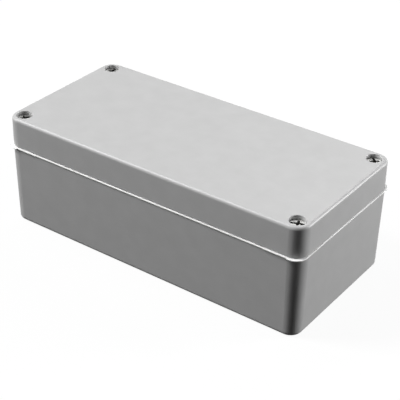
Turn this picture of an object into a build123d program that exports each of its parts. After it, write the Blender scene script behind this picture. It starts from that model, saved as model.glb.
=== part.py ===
from build123d import *
import os
from math import radians, sqrt, tan

# A screw-lid enclosure moulded in glass-fibre polyester. It stands on z = 0 with its long
# side along X and its lid up. Lengths are in millimetres, angles in degrees.

# Outer form
case_length = 160.0
case_width = 75.0
base_height = 39.6
lid_height = 14.8
corner_radius = 6.5
base_draft = 1.06
lid_draft = 0.15
foot_edge_radius = 2.0
lid_edge_radius = 1.5
base_rim_radius = 0.3
lid_rim_radius = 0.6

# Walls and the rounding of the room inside
wall = 3.2
floor_thickness = 4.0
lid_thickness = 3.5
room_draft = 1.06
room_radius = 3.2
floor_edge_radius = 2.0
ceiling_edge_radius = 1.0

# Lid screw axes, measured from the outer faces
screw_edge_x = 6.0
screw_edge_y = 6.0

# Holes for fixing the base to a wall, at the foot of channels that open under the lid, with
# their axes measured from the outer faces
mount_edge_x = 6.0
mount_edge_y = 15.0
mount_hole = 4.5
mount_channel = 8.0
mount_ledge = 8.0

# Corner blocks, which hold the screw inserts and the mounting channels
block_material = 2.0
block_radius = 4.5

# Seal, which stands a little proud of the case. It widens at a pad near each corner, and again
# at an ear round the corner itself. Reaches are measured from the case's outer faces
seal_height = 0.6
seal_proud_side = 0.35
seal_proud_end = 0.1
seal_inner_recess = 0.3
seal_edge_radius = 0.2
seal_screw_hole = 5.0
pad_widening = 0.2
pad_reach = 18.0
ear_proud_side = 1.0
ear_proud_end = 0.3
ear_reach_x = 6.3
ear_reach_y = 8.0
ear_radius = 5.0
seal_shoulder_radius = 0.4

# Locating lip of the lid, inside the base's opening
lip_depth = 3.0
lip_thickness = 1.4
lip_clearance = 0.3
lip_lead_in = 0.5

# Lid screws, with the thread drawn plain at its outer diameter. Undone, a screw rises by its
# turns times the pitch, and its thread then still hangs below the neck that keeps it in the lid
thread_pitch = 0.7
screw_turns = 12
screw_engagement = 7.8
screw_neck_gap = 1.0
screw_thread = 3.9
screw_relief = 3.0
screw_tip_chamfer = 0.5
head_diameter = 7.0
head_side_gap = 0.25
head_height = 2.6
head_edge_radius = 0.35
slot_width = 1.2
slot_depth = 1.1
cross_span = 4.6
cross_width = 1.1
cross_foot_span = 2.2
cross_foot_width = 0.8
cross_depth = 1.9

# Turn of each screw's slot from the X axis, as the photo shows them
slot_turn = {"front_left": 60.0, "front_right": 20.0, "back_left": 95.0, "back_right": 130.0}

# Holes in the lid for the screws
counterbore_depth = 5.0
counterbore_edge_radius = 0.25
neck_hole = 3.4
neck_height = 1.8
lid_screw_hole = 4.6

# Washers under the heads
washer_side_gap = 0.25
washer_hole = 3.2
washer_thickness = 0.8

# Threaded inserts, with their threads drawn plain
insert_diameter = 6.0
insert_fit = 0.02
insert_chamfer = 0.3
insert_groove_width = 1.6
insert_groove_depth = 0.5
knurl_count = 16
knurl_depth = 0.3
pillar_insert_bore = 4.0
pillar_insert_drop = 1.0
insert_past_tip = 1.3
pillar_pocket_spare = 1.5
floor_insert_bite = 1.5
floor_insert_bore = 3.3

# Floor bosses for a mounting plate, with their axes measured from the outer faces
boss_edge_x = 20.0
boss_edge_y = 17.5
boss_diameter = 9.5
boss_height = 5.0
boss_draft = 1.5
boss_root_radius = 0.8

# Levels worked out from the sizes above
lid_bottom = base_height + seal_height
lid_top = lid_bottom + lid_height
washer_seat = lid_top - counterbore_depth
head_seat = washer_seat + washer_thickness
neck_low = washer_seat - neck_height
boss_top = floor_thickness + boss_height
floor_insert_length = boss_height + floor_insert_bite
pillar_insert_top = base_height - pillar_insert_drop
pillar_insert_length = screw_engagement + insert_past_tip
screw_tip = pillar_insert_top - screw_engagement
screw_thread_top = neck_low - screw_neck_gap - screw_turns * thread_pitch

# Places worked out from the sizes above
screw_x = case_length / 2 - screw_edge_x
screw_y = case_width / 2 - screw_edge_y
mount_x = case_length / 2 - mount_edge_x
mount_y = case_width / 2 - mount_edge_y
boss_x = case_length / 2 - boss_edge_x
boss_y = case_width / 2 - boss_edge_y
counterbore = head_diameter + 2 * head_side_gap
washer_diameter = counterbore - 2 * washer_side_gap
channel_reach = mount_channel / 2 + block_material
pillar_reach = insert_diameter / 2 + block_material
block_inner_x = min(screw_x - pillar_reach, mount_x - channel_reach)
block_inner_y = min(screw_y - pillar_reach, mount_y - channel_reach)
corners = {"front_left": (-1, -1), "front_right": (1, -1), "back_left": (-1, 1), "back_right": (1, 1)}

# Share of a corner's radius that a fillet along it may take
fillet_limit = 0.9

# How far a cutter runs past an open side, and how near two places count as the same
overrun = 1.0
same_place = 0.01


def at_corners(x, y, level):
    """Places of the same feature in all four corners."""
    return [Location((sx * x, sy * y, level)) for sx, sy in corners.values()]


def bar(diameter, low, high):
    """Upright round bar between two levels, as a solid or as a cutter."""
    return Pos(0, 0, (low + high) / 2) * Cylinder(diameter / 2, high - low)


def by_reach(plan):
    """Corner points of an outline, nearest to the middle first."""
    return plan.vertices().sort_by(lambda v: Vector(v.X, v.Y, 0).length)


def case_outline(inset):
    """Outer outline in plan, moved inwards by inset."""
    return RectangleRounded(case_length - 2 * inset, case_width - 2 * inset, corner_radius - inset)


def room_outline(inset):
    """Outline of the room between the four corner blocks, moved inwards by inset."""
    along = Rectangle(2 * (block_inner_x - inset), case_width - 2 * (wall + inset))
    across = Rectangle(case_length - 2 * (wall + inset), 2 * (block_inner_y - inset))
    plan = along + across
    plan = fillet(by_reach(plan)[4:], room_radius - inset)
    return fillet(by_reach(plan)[:4], block_radius + inset)


def drafted(outline, inset, wide_level, narrow_level, draft):
    """Solid between two levels, whose outline starts at inset and moves inwards by the draft."""
    deep_inset = inset + abs(wide_level - narrow_level) * tan(radians(draft))
    wide = Pos(0, 0, wide_level) * outline(inset)
    narrow = Pos(0, 0, narrow_level) * outline(deep_inset)
    return loft([wide, narrow], ruled=True)


def room_fillet(radius, inset, depth):
    """Radius of a room's closed end, limited by its drafted corner radius."""
    return min(radius, fillet_limit * (room_radius - inset - depth * tan(radians(room_draft))))


def floor_bosses():
    """Conical bosses that rise from the floor and carry the floor inserts."""
    root = boss_diameter / 2 + boss_height * tan(radians(boss_draft))
    cone = Cone(root, boss_diameter / 2, boss_height)
    middle = floor_thickness + boss_height / 2
    return [spot * cone for spot in at_corners(boss_x, boss_y, middle)]


def is_boss_root(edge):
    """True for the circle where a boss meets the floor."""
    centre = edge.arc_center
    miss = Vector(abs(centre.X) - boss_x, abs(centre.Y) - boss_y, centre.Z - floor_thickness)
    return miss.length < same_place


def make_base():
    """Deep moulded box with corner blocks, mounting channels and floor bosses."""
    body = drafted(case_outline, 0, base_height, 0, base_draft)
    body = fillet(body.edges().group_by(Axis.Z)[0], foot_edge_radius)
    body = fillet(body.edges().group_by(Axis.Z)[-1], base_rim_radius)
    room = drafted(room_outline, 0, base_height, floor_thickness, room_draft)
    depth = base_height - floor_thickness
    room = fillet(room.edges().group_by(Axis.Z)[0], room_fillet(floor_edge_radius, 0, depth))
    body -= room
    body += floor_bosses()
    roots = body.edges().filter_by(GeomType.CIRCLE).filter_by(is_boss_root)
    body = fillet(roots, boss_root_radius)
    pocket_floor = pillar_insert_top - pillar_insert_length - pillar_pocket_spare
    pocket = bar(insert_diameter, pocket_floor, base_height)
    channel = bar(mount_channel, mount_ledge, base_height) + bar(mount_hole, 0, mount_ledge)
    boss_pocket = bar(insert_diameter, boss_top - floor_insert_length, boss_top)
    body -= [spot * pocket for spot in at_corners(screw_x, screw_y, 0)]
    body -= [spot * channel for spot in at_corners(mount_x, mount_y, 0)]
    body -= [spot * boss_pocket for spot in at_corners(boss_x, boss_y, 0)]
    return body


def seal_widening(reach_x, reach_y, proud_end, proud_side, radius):
    """Wider patch of the seal in the back right corner, rounded at the corner and its shoulders."""
    length = reach_x + proud_end
    width = reach_y + proud_side
    middle = Pos(case_length / 2 + proud_end - length / 2, case_width / 2 + proud_side - width / 2)
    patch = middle * Rectangle(length, width)
    crosswise = patch.vertices().sort_by(lambda v: v.X - v.Y)
    patch = fillet([crosswise[0], crosswise[-1]], seal_shoulder_radius)
    return fillet(patch.vertices().sort_by(lambda v: v.X + v.Y)[-1:], radius)


def make_seal():
    """Flat silicone frame that covers the rim, with pads, ears and screw holes in its corners."""
    pad_end = seal_proud_end + pad_widening
    pad_side = seal_proud_side + pad_widening
    corner = seal_widening(pad_reach, pad_reach, pad_end, pad_side, corner_radius)
    corner += seal_widening(ear_reach_x, ear_reach_y, ear_proud_end, ear_proud_side, ear_radius)
    right_corners = corner + mirror(corner, Plane.XZ)
    frame_length = case_length + 2 * seal_proud_end
    frame_width = case_width + 2 * seal_proud_side
    frame = RectangleRounded(frame_length, frame_width, corner_radius)
    plan = frame + right_corners + mirror(right_corners, Plane.YZ)
    sheet = extrude(plan, seal_height)
    sheet = fillet(sheet.edges().group_by(Axis.Z)[0] + sheet.edges().group_by(Axis.Z)[-1], seal_edge_radius)
    inside = room_outline(-seal_inner_recess)
    inside += [spot * Circle(seal_screw_hole / 2) for spot in at_corners(screw_x, screw_y, 0)]
    inside += [spot * Circle(mount_channel / 2) for spot in at_corners(mount_x, mount_y, 0)]
    return Pos(0, 0, base_height) * (sheet - extrude(inside, seal_height))


def screw_passage():
    """Counterbore, captive neck and clearance hole for one lid screw."""
    passage = bar(counterbore, washer_seat, lid_top) + bar(neck_hole, neck_low, washer_seat)
    return passage + bar(lid_screw_hole, lid_bottom - overrun, neck_low)


def make_lid():
    """Shallow moulded cover with a locating lip and sunk screw holes."""
    shell = drafted(case_outline, 0, lid_bottom, lid_top, lid_draft)
    shell = fillet(shell.edges().group_by(Axis.Z)[-1], lid_edge_radius)
    shell = fillet(shell.edges().group_by(Axis.Z)[0], lid_rim_radius)
    lip_bottom = lid_bottom - lip_depth
    lip = Pos(0, 0, lip_bottom) * extrude(room_outline(lip_clearance), lip_depth)
    lip = chamfer(lip.edges().group_by(Axis.Z)[0], lip_lead_in)
    inset = lip_clearance + lip_thickness
    ceiling = lid_top - lid_thickness
    room = drafted(room_outline, inset, lip_bottom, ceiling, room_draft)
    depth = ceiling - lip_bottom
    room = fillet(room.edges().group_by(Axis.Z)[-1], room_fillet(ceiling_edge_radius, inset, depth))
    body = shell + lip - room
    body -= [spot * screw_passage() for spot in at_corners(screw_x, screw_y, 0)]
    mouths = body.edges().filter_by(GeomType.CIRCLE).group_by(Axis.Z)[-1]
    return fillet(mouths, counterbore_edge_radius)


def screw_recess():
    """Slot right across the head and a tapered cross in its middle, both cut from the top."""
    slot = Box(head_diameter + overrun, slot_width, slot_depth)
    slot = Pos(0, 0, head_height - slot_depth / 2) * slot
    mouth = Pos(0, 0, head_height) * Rectangle(cross_span, cross_width)
    foot = Pos(0, 0, head_height - cross_depth) * Rectangle(cross_foot_span, cross_foot_width)
    wing = loft([mouth, foot], ruled=True)
    return slot + wing + Rot(0, 0, 90) * wing


def make_screw(turn):
    """Cheese-head screw with a relieved shank, its head's underside on z = 0."""
    head = bar(head_diameter, 0, head_height)
    head = fillet(head.edges().group_by(Axis.Z)[-1], head_edge_radius)
    tip = screw_tip - head_seat
    thread_top = screw_thread_top - head_seat
    thread = bar(screw_thread, tip, thread_top)
    thread = chamfer(thread.edges().group_by(Axis.Z)[0], screw_tip_chamfer)
    thread = chamfer(thread.edges().group_by(Axis.Z)[-1], fillet_limit * (screw_thread - screw_relief) / 2)
    relief = bar(screw_relief, (tip + thread_top) / 2, 0)
    return Rot(0, 0, turn) * (head + relief + thread - screw_recess())


def make_washer():
    """Flat plastic washer, its underside on z = 0."""
    return bar(washer_diameter, 0, washer_thickness) - bar(washer_hole, 0, washer_thickness)


def make_insert(length, bore):
    """Knurled brass insert with a locking groove, its top on z = 0."""
    radius = insert_diameter / 2 - insert_fit
    body = bar(2 * radius, -length, 0)
    body = chamfer(body.edges(), insert_chamfer)
    flute_side = knurl_depth * sqrt(2)
    flute = Pos(radius, 0, -length / 2) * Rot(0, 0, 45) * Box(flute_side, flute_side, length)
    body -= [spot * flute for spot in PolarLocations(0, knurl_count)]
    groove_top = (insert_groove_width - length) / 2
    groove = bar(2 * radius + overrun, groove_top - insert_groove_width, groove_top)
    body -= groove - bar(2 * (radius - insert_groove_depth), -length, 0)
    return body - bar(bore, -length, 0)


def build_parts():
    """Every piece in its place, by its node name."""
    parts = {"base": make_base(), "seal": make_seal(), "lid": make_lid()}
    pillar_insert = make_insert(pillar_insert_length, pillar_insert_bore)
    floor_insert = make_insert(floor_insert_length, floor_insert_bore)
    for name, (sx, sy) in corners.items():
        axis = Pos(sx * screw_x, sy * screw_y, 0)
        parts["pillar_insert_" + name] = axis * Pos(0, 0, pillar_insert_top) * pillar_insert
        parts["screw_washer_" + name] = axis * Pos(0, 0, washer_seat) * make_washer()
        parts["lid_screw_" + name] = axis * Pos(0, 0, head_seat) * make_screw(slot_turn[name])
        parts["floor_insert_" + name] = Pos(sx * boss_x, sy * boss_y, boss_top) * floor_insert
    return parts


os.makedirs("parts", exist_ok=True)
for node, solid in build_parts().items():
    export_step(solid, "parts/" + node + ".step")
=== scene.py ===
import bmesh
import bpy
import numpy as np
from mathutils import Matrix, Vector


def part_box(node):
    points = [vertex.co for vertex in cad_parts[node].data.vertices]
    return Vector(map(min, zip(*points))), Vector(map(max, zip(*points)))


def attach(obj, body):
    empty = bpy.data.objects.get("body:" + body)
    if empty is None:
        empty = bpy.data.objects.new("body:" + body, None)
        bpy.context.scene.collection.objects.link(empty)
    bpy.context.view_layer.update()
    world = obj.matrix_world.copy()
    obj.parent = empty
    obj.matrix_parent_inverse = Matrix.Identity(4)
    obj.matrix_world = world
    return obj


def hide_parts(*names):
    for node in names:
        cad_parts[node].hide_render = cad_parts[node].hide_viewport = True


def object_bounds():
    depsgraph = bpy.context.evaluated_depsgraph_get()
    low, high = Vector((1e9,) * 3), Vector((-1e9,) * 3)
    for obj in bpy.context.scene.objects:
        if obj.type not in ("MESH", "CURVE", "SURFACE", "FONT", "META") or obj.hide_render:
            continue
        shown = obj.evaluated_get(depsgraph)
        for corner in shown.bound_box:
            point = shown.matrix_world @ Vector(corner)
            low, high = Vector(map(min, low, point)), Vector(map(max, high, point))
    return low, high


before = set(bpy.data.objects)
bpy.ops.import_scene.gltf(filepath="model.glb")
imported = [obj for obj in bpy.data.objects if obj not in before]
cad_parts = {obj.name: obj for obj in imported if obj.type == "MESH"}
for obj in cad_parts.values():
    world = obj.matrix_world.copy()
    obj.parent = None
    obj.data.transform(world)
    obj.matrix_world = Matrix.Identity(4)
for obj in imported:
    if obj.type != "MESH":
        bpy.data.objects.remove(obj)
cad_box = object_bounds()

# A screw-lid enclosure moulded in glass-fibre polyester, with a white silicone seal between
# its two mouldings and sunk corner screws. Lengths are in metres, angles in degrees.

MM = 0.001
CORNERS = ("front_left", "front_right", "back_left", "back_right")

# Camera: bearing from the front towards the right, height above the horizon, and lean
CAMERA_BEARING = 35.38
CAMERA_RISE = 31.64
CAMERA_LEAN = 1.13
CAMERA_DISTANCE = 0.5410
CAMERA_AIM = Vector((0.00423, -0.00097, 0.0233))
CAMERA_LENS_MM = 105.93
CAMERA_SENSOR_MM = 36.0

# Soft lamps: bearing from the front towards the right, height above the horizon, distance
# from the middle of the case, width and height of the panel, and brightness, which is the
# value that a white surface facing the lamp would take there
LAMPS = {
    "front_left_softbox": (-62.0, 25.0, 2.80, 0.90, 0.90, 0.56),
    "front_left_high_softbox": (-60.0, 52.5, 2.80, 0.70, 0.60, 0.80),
    "back_right_softbox": (130.0, 12.0, 1.10, 0.30, 0.30, 0.77),
    "back_right_strip": (134.0, 22.0, 1.10, 0.25, 1.00, 0.30),
    "high_left_softbox": (-106.0, 61.0, 2.80, 0.90, 0.90, 0.18),
    "back_left_softbox": (-160.0, 47.0, 2.80, 0.70, 0.70, 0.13),
}

# Studio above the horizon: white at its foot, a dark band, and a white ceiling, all seen by the
# camera and in gloss only, and a faint even fill
SKY_WHITE_RISE = 4.0
SKY_DARK_RISE = 18.0
SKY_DARK = 0.10
CEILING_DARK_RISE = 38.0
CEILING_WHITE_RISE = 62.0
CEILING_LEVEL = 1.0
FILL_LIGHT = 0.01

# Floor, whose shadow of the case stays faint, and which is dimmer in gloss near the case
FLOOR_SIDE = 6.0
FLOOR_GAP = 0.02 * MM
FLOOR_SHADOW_SHARE = 0.06
FLOOR_BOUNCE = 0.05
FLOOR_GLOSS = 0.10
FLOOR_DIM_RADIUS = 150 * MM
FLOOR_WHITE_RADIUS = 300 * MM

# Lid screws: M4 thread of 0.7 mm pitch under a cheese head
SCREW_HEAD_HEIGHT = 2.6 * MM
SCREW_THREAD_RADIUS = 1.95 * MM
SCREW_THREAD_DEPTH = 0.42 * MM
SCREW_THREAD_PITCH = 0.7 * MM
SCREW_THREAD_LENGTH = 8.0 * MM
SCREW_RELIEF_RADIUS = 1.5 * MM
SCREW_TIP_CHAMFER = 0.5 * MM
SCREW_STUB = 0.6 * MM
SCREW_RECESS_RADIUS = 3.1 * MM
SCREW_RECESS_DEPTH = 2.4 * MM
SCREW_RECESS_EDGE = 0.05 * MM
THREAD_CREST_SHARE = 0.125
THREAD_ROOT_SHARE = 0.25
THREAD_ROWS_PER_PITCH = 14
THREAD_COLUMNS = 48
WELD_DISTANCE = 0.001 * MM
SHARP_ANGLE = 32.0
LEVEL_FACE = 0.999

# Turned metals: roughness, and the lathe's ring spacing and depth
STEEL_ROUGHNESS = 0.28
STEEL_RINGS = (0.22 * MM, 0.0015 * MM)
BRASS_ROUGHNESS = 0.30
BRASS_RINGS = (0.20 * MM, 0.003 * MM)


def linear(hex_colour):
    """Linear colour, with full opacity, of an sRGB hex value."""
    parts = [int(hex_colour[i : i + 2], 16) / 255 for i in (1, 3, 5)]
    return [c / 12.92 if c <= 0.04045 else ((c + 0.055) / 1.055) ** 2.4 for c in parts] + [1.0]


def add(tree, kind, inputs=None, **settings):
    """One node with its settings, and its inputs as plain values or as links from sockets."""
    made = tree.nodes.new(kind)
    for name, value in settings.items():
        setattr(made, name, value)
    for name, value in (inputs or {}).items():
        if isinstance(value, bpy.types.NodeSocket):
            tree.links.new(value, made.inputs[name])
        else:
            made.inputs[name].default_value = value
    return made


def new_material(name):
    """Empty node material and its tree."""
    material = bpy.data.materials.new(name)
    material.use_nodes = True
    material.node_tree.nodes.clear()
    return material, material.node_tree


def finish_material(tree, shader):
    """Connects the finished shader to the surface."""
    add(tree, "ShaderNodeOutputMaterial", {"Surface": shader.outputs[0]})


def glass_fibre_polyester():
    """Hot-pressed polyester with short glass fibres: a flat grey with a low satin gloss, a
    faint cloudiness where fibres lie close under the skin, and a fine pressed grain."""
    material, tree = new_material("glass_fibre_polyester")
    place = add(tree, "ShaderNodeTexCoord").outputs["Object"]
    # Clouding of the mix, about 9 mm across
    cloud = add(tree, "ShaderNodeTexNoise", {"Vector": place, "Scale": 1 / (9 * MM), "Detail": 3.0})
    # Fibre strands, about 5 mm long and 0.5 mm wide, lying two ways
    strands = []
    for turn in (0.5, 2.0):
        laid = add(tree, "ShaderNodeMapping", {"Vector": place, "Rotation": (turn, turn, turn),
                                               "Scale": (1 / (5 * MM), 1 / (0.5 * MM), 1 / (0.5 * MM))})
        strands.append(add(tree, "ShaderNodeTexNoise", {"Vector": laid.outputs[0], "Scale": 1.0,
                                                        "Detail": 2.0}))
    mixed = add(tree, "ShaderNodeMath", {0: strands[0].outputs["Fac"], 1: strands[1].outputs["Fac"]},
                operation="MAXIMUM")
    tone = add(tree, "ShaderNodeMath", {0: mixed.outputs[0], 1: 0.5, 2: cloud.outputs["Fac"]},
               operation="MULTIPLY_ADD")
    ramp = add(tree, "ShaderNodeValToRGB", {"Fac": tone.outputs[0]})
    ramp.color_ramp.elements[0].position = 0.55
    ramp.color_ramp.elements[0].color = linear("#B2B2B2")
    ramp.color_ramp.elements[1].position = 1.0
    ramp.color_ramp.elements[1].color = linear("#B7B7B7")
    gloss = add(tree, "ShaderNodeMapRange", {"Value": mixed.outputs[0], "From Min": 0.4, "From Max": 0.8,
                                             "To Min": 0.39, "To Max": 0.45})
    # Pressed grain, about 0.35 mm across and a few thousandths deep
    grain = add(tree, "ShaderNodeTexNoise", {"Vector": place, "Scale": 1 / (0.35 * MM), "Detail": 2.0})
    bump = add(tree, "ShaderNodeBump", {"Height": grain.outputs["Fac"], "Distance": 0.004 * MM,
                                        "Strength": 0.6})
    shader = add(tree, "ShaderNodeBsdfPrincipled", {
        "Base Color": ramp.outputs["Color"], "Roughness": gloss.outputs[0], "IOR": 1.5,
        "Normal": bump.outputs[0]})
    finish_material(tree, shader)
    return material


def white_silicone():
    """Moulded silicone rubber: a soft matte white."""
    material, tree = new_material("white_silicone_rubber")
    place = add(tree, "ShaderNodeTexCoord").outputs["Object"]
    dust = add(tree, "ShaderNodeTexNoise", {"Vector": place, "Scale": 1 / (1.5 * MM), "Detail": 3.0})
    ramp = add(tree, "ShaderNodeValToRGB", {"Fac": dust.outputs["Fac"]})
    ramp.color_ramp.elements[0].position = 0.3
    ramp.color_ramp.elements[0].color = linear("#F6F6F5")
    ramp.color_ramp.elements[1].position = 0.7
    ramp.color_ramp.elements[1].color = linear("#FAFAFA")
    bump = add(tree, "ShaderNodeBump", {"Height": dust.outputs["Fac"], "Distance": 0.005 * MM,
                                        "Strength": 0.5})
    shader = add(tree, "ShaderNodeBsdfPrincipled", {
        "Base Color": ramp.outputs["Color"], "Roughness": 0.55, "IOR": 1.41, "Normal": bump.outputs[0]})
    finish_material(tree, shader)
    return material


def corner_distance(tree, centre_x, centre_y):
    """Distance from the nearest of four upright axes that lie alike in all four corners: the
    length of (|x| - centre x, |y| - centre y)."""
    place = add(tree, "ShaderNodeTexCoord").outputs["Object"]
    split = add(tree, "ShaderNodeSeparateXYZ", {"Vector": place})
    squares = []
    for axis, centre in (("X", centre_x), ("Y", centre_y)):
        side = add(tree, "ShaderNodeMath", {0: split.outputs[axis]}, operation="ABSOLUTE")
        offset = add(tree, "ShaderNodeMath", {0: side.outputs[0], 1: centre}, operation="SUBTRACT")
        squares.append(add(tree, "ShaderNodeMath", {0: offset.outputs[0], 1: 2.0}, operation="POWER"))
    total = add(tree, "ShaderNodeMath", {0: squares[0].outputs[0], 1: squares[1].outputs[0]})
    return add(tree, "ShaderNodeMath", {0: total.outputs[0]}, operation="SQRT").outputs[0]


def turned_metal(name, hex_colour, roughness, centre, rings, recess_shade=None):
    """Metal faced on a lathe: concentric rings of the tool, drawn a little coarser than real
    so that they show, and a few dull smears of handling. A recess, given by its colour, radius,
    floor and top, has its inside painted darker as painted shade."""
    material, tree = new_material(name)
    ring_spacing, ring_depth = rings
    away = corner_distance(tree, centre[0], centre[1])
    wave = add(tree, "ShaderNodeMath", {0: away, 1: 2 * np.pi / ring_spacing}, operation="MULTIPLY")
    ripple = add(tree, "ShaderNodeMath", {0: wave.outputs[0]}, operation="SINE")
    place = add(tree, "ShaderNodeTexCoord").outputs["Object"]
    smear = add(tree, "ShaderNodeTexNoise", {"Vector": place, "Scale": 1 / (1.2 * MM), "Detail": 3.0})
    gloss = add(tree, "ShaderNodeMapRange", {"Value": smear.outputs["Fac"], "From Min": 0.3, "From Max": 0.7,
                                             "To Min": roughness - 0.04, "To Max": roughness + 0.05})
    bump = add(tree, "ShaderNodeBump", {"Height": ripple.outputs[0], "Distance": ring_depth,
                                        "Strength": 0.5})
    colour = linear(hex_colour)
    # Painted shade: inside the recess the colour turns to a dark grey, standing in for shade there
    if recess_shade:
        painted_shade_colour, radius, floor, top = recess_shade
        level = add(tree, "ShaderNodeSeparateXYZ", {"Vector": place}).outputs["Z"]
        shade_mask = add(tree, "ShaderNodeMath", {0: away, 1: radius}, operation="LESS_THAN").outputs[0]
        under = add(tree, "ShaderNodeMath", {0: level, 1: top}, operation="LESS_THAN").outputs[0]
        over = add(tree, "ShaderNodeMath", {0: level, 1: floor}, operation="GREATER_THAN").outputs[0]
        for other in (under, over):
            shade_mask = add(tree, "ShaderNodeMath", {0: shade_mask, 1: other}, operation="MULTIPLY").outputs[0]
        ramp = add(tree, "ShaderNodeValToRGB", {"Fac": shade_mask})
        ramp.color_ramp.elements[0].color = linear(hex_colour)
        ramp.color_ramp.elements[1].color = linear(painted_shade_colour)
        colour = ramp.outputs["Color"]
    shader = add(tree, "ShaderNodeBsdfPrincipled", {
        "Base Color": colour, "Metallic": 1.0, "Roughness": gloss.outputs[0], "Normal": bump.outputs[0]})
    finish_material(tree, shader)
    return material


def natural_polyamide():
    """Stamped polyamide washer: milky, slightly warm and half dull."""
    material, tree = new_material("natural_polyamide")
    place = add(tree, "ShaderNodeTexCoord").outputs["Object"]
    milk = add(tree, "ShaderNodeTexNoise", {"Vector": place, "Scale": 1 / (0.8 * MM), "Detail": 2.0})
    ramp = add(tree, "ShaderNodeValToRGB", {"Fac": milk.outputs["Fac"]})
    ramp.color_ramp.elements[0].color = linear("#D9D6CB")
    ramp.color_ramp.elements[1].color = linear("#E6E4DB")
    shader = add(tree, "ShaderNodeBsdfPrincipled", {
        "Base Color": ramp.outputs["Color"], "Roughness": 0.45, "IOR": 1.53})
    finish_material(tree, shader)
    return material


def seen_ray(tree):
    """1 for rays of the camera, of gloss and through glass, and 0 for the rest."""
    path = add(tree, "ShaderNodeLightPath")
    seen = path.outputs["Is Camera Ray"]
    for other in ("Is Glossy Ray", "Is Transmission Ray"):
        seen = add(tree, "ShaderNodeMath", {0: seen, 1: path.outputs[other]}, operation="MAXIMUM").outputs[0]
    return seen


def pale_floor_paint():
    """White paper sweep: white to the camera, dim in gloss near the case and white farther out,
    with a faint shadow and hardly any bounce."""
    material, tree = new_material("pale_floor")
    seen = seen_ray(tree)
    colour = add(tree, "ShaderNodeMapRange", {"Value": seen, "To Min": FLOOR_BOUNCE, "To Max": 0.8})
    paper = add(tree, "ShaderNodeBsdfDiffuse", {"Color": colour.outputs[0]})
    gloss = add(tree, "ShaderNodeLightPath").outputs["Is Glossy Ray"]
    place = add(tree, "ShaderNodeTexCoord").outputs["Object"]
    away = add(tree, "ShaderNodeVectorMath", {0: place}, operation="LENGTH").outputs["Value"]
    dimmed = add(tree, "ShaderNodeMapRange", {"Value": away, "From Min": FLOOR_DIM_RADIUS,
                                              "From Max": FLOOR_WHITE_RADIUS, "To Min": FLOOR_GLOSS})
    level = add(tree, "ShaderNodeMapRange", {"Value": gloss, "To Min": 1.0, "To Max": dimmed.outputs[0]})
    white = add(tree, "ShaderNodeEmission", {"Strength": level.outputs[0]})
    share = add(tree, "ShaderNodeMath", {0: seen, 1: 1 - FLOOR_SHADOW_SHARE}, operation="MULTIPLY")
    both = add(tree, "ShaderNodeMixShader", {0: share.outputs[0], 1: paper.outputs[0], 2: white.outputs[0]})
    finish_material(tree, both)
    return material


def paint(target, material):
    """Gives a carried-over node or a new piece one material."""
    if not target.material_slots:
        target.data.materials.append(material)
    for place in target.material_slots:
        place.link = "OBJECT"
        place.material = material


def mesh_from_rings(rings):
    """Closed mesh from an array of rings, rows by columns by three, with a flat cap on each
    end. Each ring is joined to the next by quads, and its last column to its first."""
    rows, columns = rings.shape[:2]
    index = np.arange(rows * columns).reshape(rows, columns)
    after = np.roll(index, -1, axis=1)
    quads = np.stack([index[:-1], after[:-1], after[1:], index[1:]], axis=-1).reshape(-1, 4)
    caps = [index[0][::-1].tolist(), index[-1].tolist()]
    mesh = bpy.data.meshes.new("rings")
    mesh.from_pydata(rings.reshape(-1, 3).tolist(), [], quads.tolist() + caps)
    return mesh


def thread_radius(angle, height):
    """Radius of the thread at an angle and a height over the tip: a V ridge that climbs one
    pitch a turn, with a flat crest and a flat root, fading out over the last pitch, and no
    wider than the tip's chamfer."""
    turn = np.mod(height / SCREW_THREAD_PITCH - angle / (2 * np.pi), 1.0)
    from_crest = np.abs(turn - 0.5) * 2
    ramp = (1 - THREAD_ROOT_SHARE - from_crest) / (1 - THREAD_ROOT_SHARE - THREAD_CREST_SHARE)
    ridge = np.clip(ramp, 0, 1) * np.clip((SCREW_THREAD_LENGTH - height) / SCREW_THREAD_PITCH, 0, 1)
    core = SCREW_THREAD_RADIUS - SCREW_THREAD_DEPTH
    radius = core + ridge * SCREW_THREAD_DEPTH
    return np.minimum(radius, SCREW_THREAD_RADIUS - SCREW_TIP_CHAMFER + height)


def threaded_shank(centre, tip, head_seat):
    """Shank in rings: height by angle, with the thread below and the thinner relief above,
    which runs a little way into the head's stub."""
    angle = np.linspace(0, 2 * np.pi, THREAD_COLUMNS, endpoint=False)
    rows = int(round(SCREW_THREAD_LENGTH / SCREW_THREAD_PITCH * THREAD_ROWS_PER_PITCH))
    height = np.linspace(0, SCREW_THREAD_LENGTH, rows)
    relief_start = SCREW_THREAD_LENGTH + SCREW_TIP_CHAMFER / 2
    relief = np.array([relief_start, head_seat - tip - SCREW_STUB / 2])
    radius = np.concatenate([thread_radius(angle[None, :], height[:, None]),
                             np.full((len(relief), THREAD_COLUMNS), SCREW_RELIEF_RADIUS)])
    level = np.concatenate([height, relief])[:, None] + np.zeros_like(radius)
    rings = np.stack([centre.x + radius * np.cos(angle), centre.y + radius * np.sin(angle), tip + level], -1)
    return mesh_from_rings(rings)


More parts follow.
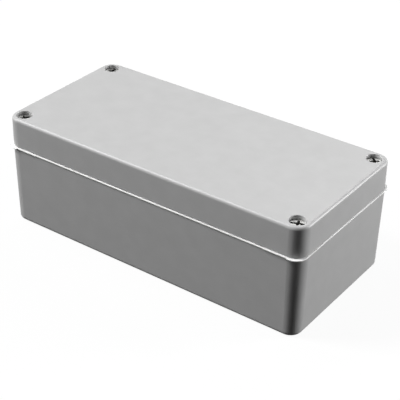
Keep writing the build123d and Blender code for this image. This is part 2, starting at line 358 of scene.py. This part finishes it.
def lid_screw(corner, material):
    """Cheese-head screw: the carried-over head with a cut and closed stub, its level faces
    shaded flat, and a real thread on the shank below it."""
    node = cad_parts["lid_screw_" + corner]
    low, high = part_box(node.name)
    centre = (low + high) / 2
    head_seat = high.z - SCREW_HEAD_HEIGHT
    shape = bmesh.new()
    shape.from_mesh(node.data)
    bmesh.ops.remove_doubles(shape, verts=shape.verts, dist=WELD_DISTANCE)
    everything = shape.verts[:] + shape.edges[:] + shape.faces[:]
    cut = bmesh.ops.bisect_plane(shape, geom=everything, plane_co=(0, 0, head_seat - SCREW_STUB),
                                 plane_no=(0, 0, -1), clear_outer=True)
    rim = [e for e in cut["geom_cut"] if isinstance(e, bmesh.types.BMEdge)]
    bmesh.ops.holes_fill(shape, edges=rim, sides=0)
    bmesh.ops.recalc_face_normals(shape, faces=shape.faces)
    shape.from_mesh(threaded_shank(centre, low.z, head_seat))
    mesh = bpy.data.meshes.new("threaded_lid_screw_" + corner)
    shape.to_mesh(mesh)
    shape.free()
    mesh.shade_smooth()
    mesh.set_sharp_from_angle(angle=np.radians(SHARP_ANGLE))
    for face in mesh.polygons:
        face.use_smooth = abs(face.normal.z) < LEVEL_FACE
    piece = bpy.data.objects.new(mesh.name, mesh)
    bpy.context.scene.collection.objects.link(piece)
    paint(piece, material)
    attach(piece, "screw_" + corner)
    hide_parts(node.name)
    return piece


def direction(bearing, rise):
    """Unit vector towards a bearing, counted from the front to the right, and a height."""
    turn, up = np.radians(bearing), np.radians(rise)
    return Vector((np.sin(turn) * np.cos(up), -np.cos(turn) * np.cos(up), np.sin(up)))


def make_camera():
    """Camera at the photograph's viewing angle."""
    data = bpy.data.cameras.new("camera")
    data.lens = CAMERA_LENS_MM
    data.sensor_width = CAMERA_SENSOR_MM
    data.clip_start = 0.01
    camera = bpy.data.objects.new("camera", data)
    bpy.context.scene.collection.objects.link(camera)
    back = direction(CAMERA_BEARING, CAMERA_RISE)
    upright = back.to_track_quat("Z", "Y").to_matrix()
    lean = Matrix.Rotation(np.radians(CAMERA_LEAN), 3, "Z")
    camera.matrix_world = Matrix.LocRotScale(CAMERA_AIM + back * CAMERA_DISTANCE, upright @ lean, None)
    bpy.context.scene.camera = camera


def make_lamp(name, bearing, rise, distance, width, height, brightness):
    """Soft lamp panel that faces the middle of the case. Its power gives that brightness on
    a facing white surface: brightness times pi squared times distance squared."""
    data = bpy.data.lights.new(name, "AREA")
    data.shape = "RECTANGLE"
    data.size = width
    data.size_y = height
    data.energy = brightness * np.pi**2 * distance**2
    lamp = bpy.data.objects.new(name, data)
    bpy.context.scene.collection.objects.link(lamp)
    middle = (cad_box[0] + cad_box[1]) / 2
    outward = direction(bearing, rise)
    lamp.location = middle + outward * distance
    lamp.rotation_euler = outward.to_track_quat("Z", "Y").to_euler()
    lamp.visible_camera = False


def make_floor():
    """Plain pale floor just under the case."""
    half = FLOOR_SIDE / 2
    mesh = bpy.data.meshes.new("floor")
    corners = [(-half, -half, -FLOOR_GAP), (half, -half, -FLOOR_GAP), (half, half, -FLOOR_GAP),
               (-half, half, -FLOOR_GAP)]
    mesh.from_pydata(corners, [], [(0, 1, 2, 3)])
    floor = bpy.data.objects.new("floor", mesh)
    bpy.context.scene.collection.objects.link(floor)
    paint(floor, pale_floor_paint())


def make_world():
    """White at the horizon, dark above it and white overhead to the camera and in gloss, and a
    faint even fill for the rest."""
    world = bpy.data.worlds.new("studio")
    world.use_nodes = True
    tree = world.node_tree
    tree.nodes.clear()
    ray = add(tree, "ShaderNodeTexCoord").outputs["Generated"]
    height = add(tree, "ShaderNodeSeparateXYZ", {"Vector": ray}).outputs["Z"]
    bands = []
    for near, far, first, last in ((SKY_WHITE_RISE, SKY_DARK_RISE, 1.0, SKY_DARK),
                                   (CEILING_DARK_RISE, CEILING_WHITE_RISE, SKY_DARK, CEILING_LEVEL)):
        bands.append(add(tree, "ShaderNodeMapRange", {
            "Value": height, "From Min": np.sin(np.radians(near)), "From Max": np.sin(np.radians(far)),
            "To Min": first, "To Max": last}, interpolation_type="SMOOTHSTEP"))
    sky = add(tree, "ShaderNodeMath", {0: bands[0].outputs[0], 1: bands[1].outputs[0]}, operation="MAXIMUM")
    seen = add(tree, "ShaderNodeMath", {0: seen_ray(tree), 1: sky.outputs[0]}, operation="MULTIPLY")
    strength = add(tree, "ShaderNodeMath", {0: seen.outputs[0], 1: FILL_LIGHT}, operation="MAXIMUM")
    light = add(tree, "ShaderNodeBackground", {"Color": linear("#FFFFFF"), "Strength": strength.outputs[0]})
    add(tree, "ShaderNodeOutputWorld", {"Surface": light.outputs[0]})
    bpy.context.scene.world = world


def axis_of(node):
    """Upright axis of a node in the back right corner, as its place in x and y."""
    low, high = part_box(node)
    return ((low.x + high.x) / 2, (low.y + high.y) / 2)


def dress_nodes():
    """Gives each carried-over node its finish."""
    moulding = glass_fibre_polyester()
    polyamide = natural_polyamide()
    pillar_brass = turned_metal("turned_brass_pillar", "#D2B36B", BRASS_ROUGHNESS,
                                axis_of("pillar_insert_back_right"), BRASS_RINGS)
    floor_brass = turned_metal("turned_brass_floor", "#D2B36B", BRASS_ROUGHNESS,
                               axis_of("floor_insert_back_right"), BRASS_RINGS)
    paint(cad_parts["base"], moulding)
    paint(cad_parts["lid"], moulding)
    paint(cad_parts["seal"], white_silicone())
    for corner in CORNERS:
        paint(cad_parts["screw_washer_" + corner], polyamide)
        paint(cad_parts["pillar_insert_" + corner], pillar_brass)
        paint(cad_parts["floor_insert_" + corner], floor_brass)


def make_screws():
    """The four lid screws with their threads."""
    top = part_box("lid_screw_back_right")[1].z
    # Painted shade: dark grey inside each screw's recess, where shade falls
    recess_shade = ("#5C5A57", SCREW_RECESS_RADIUS, top - SCREW_RECESS_DEPTH, top - SCREW_RECESS_EDGE)
    steel = turned_metal("turned_stainless_steel", "#D6D6D4", STEEL_ROUGHNESS,
                         axis_of("lid_screw_back_right"), STEEL_RINGS, recess_shade)
    for corner in CORNERS:
        lid_screw(corner, steel)


dress_nodes()
make_screws()
make_camera()
for lamp_name, values in LAMPS.items():
    make_lamp(lamp_name, *values)
make_floor()
make_world()
bpy.context.scene.view_settings.view_transform = "Standard"
